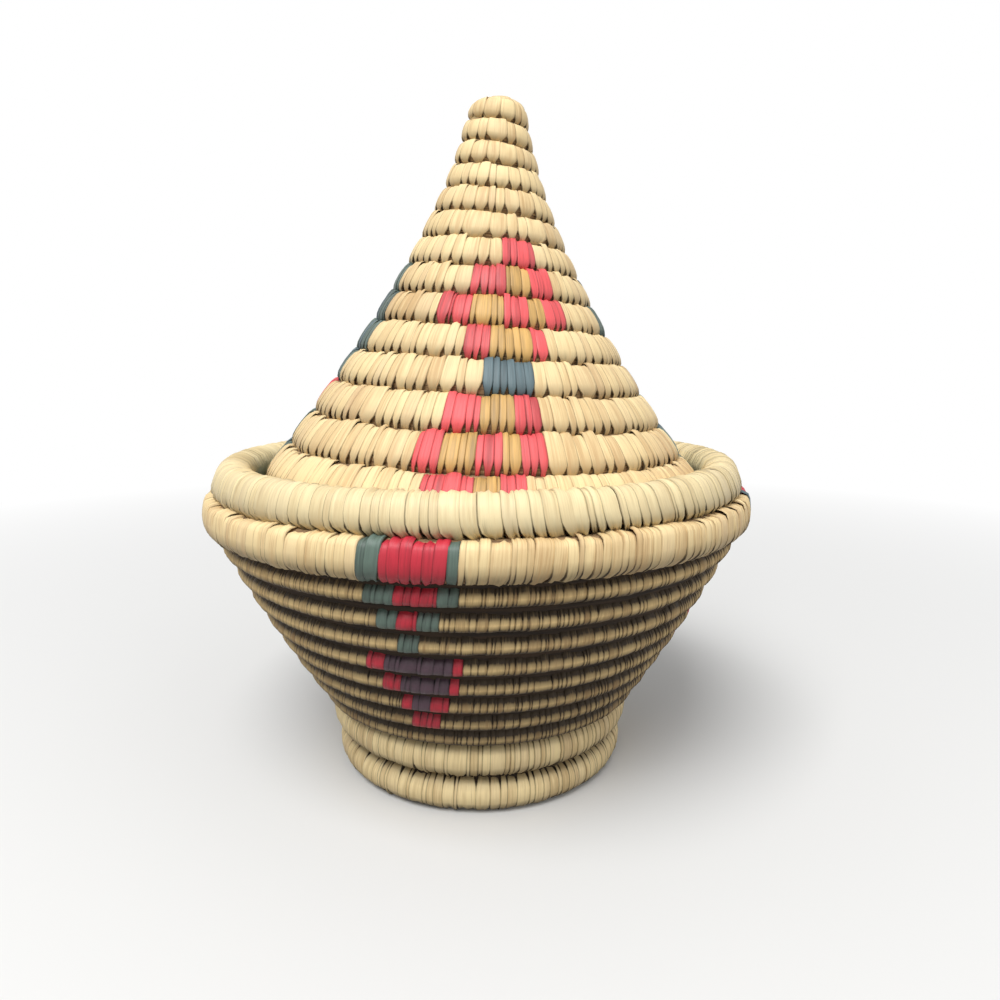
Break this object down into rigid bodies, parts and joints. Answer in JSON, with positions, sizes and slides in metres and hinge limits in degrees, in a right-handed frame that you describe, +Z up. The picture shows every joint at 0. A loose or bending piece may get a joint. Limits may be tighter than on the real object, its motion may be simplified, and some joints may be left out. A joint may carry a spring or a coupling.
{
  "type": "lidded coiled grass basket",
  "caption": "Flared round basket of coiled grass on a foot ring, with a tall pointed lid that drops inside a thick rolled rim.",
  "frame": {"origin": "middle of the foot ring's underside, on the axis of the bowl", "axes": "+Z up along the axis of the bowl, -Y towards the side that the picture shows, +X to its right"},
  "size_m": [0.2092, 0.2073, 0.2524],
  "materials": {
    "pale_leaf": "dry split palm leaf, pale straw, faint sheen",
    "rim_leaf": "tightly wrapped palm leaf, cream",
    "foot_leaf": "broad palm leaf strips, warm straw",
    "inner_leaf": "dry grass and leaf, matt tan"
  },
  "bodies": {
    "bowl": {"foot_coil": "foot_leaf", "base_start_knot": "inner_leaf", "base_coil": "inner_leaf", "wall_coil": "pale_leaf", "shoulder_coil": "pale_leaf", "rim_coil": "rim_leaf", "lid_ledge_coil": "inner_leaf"},
    "lid": {"lid_peak_knot": "pale_leaf", "lid_coil": "pale_leaf"}
  },
  "joints": [
    {"name": "lid_lift", "type": "slide", "parent": "bowl", "child": "lid", "axis": [0, 0, 1], "range_m": [0, 0.15]}
  ]
}
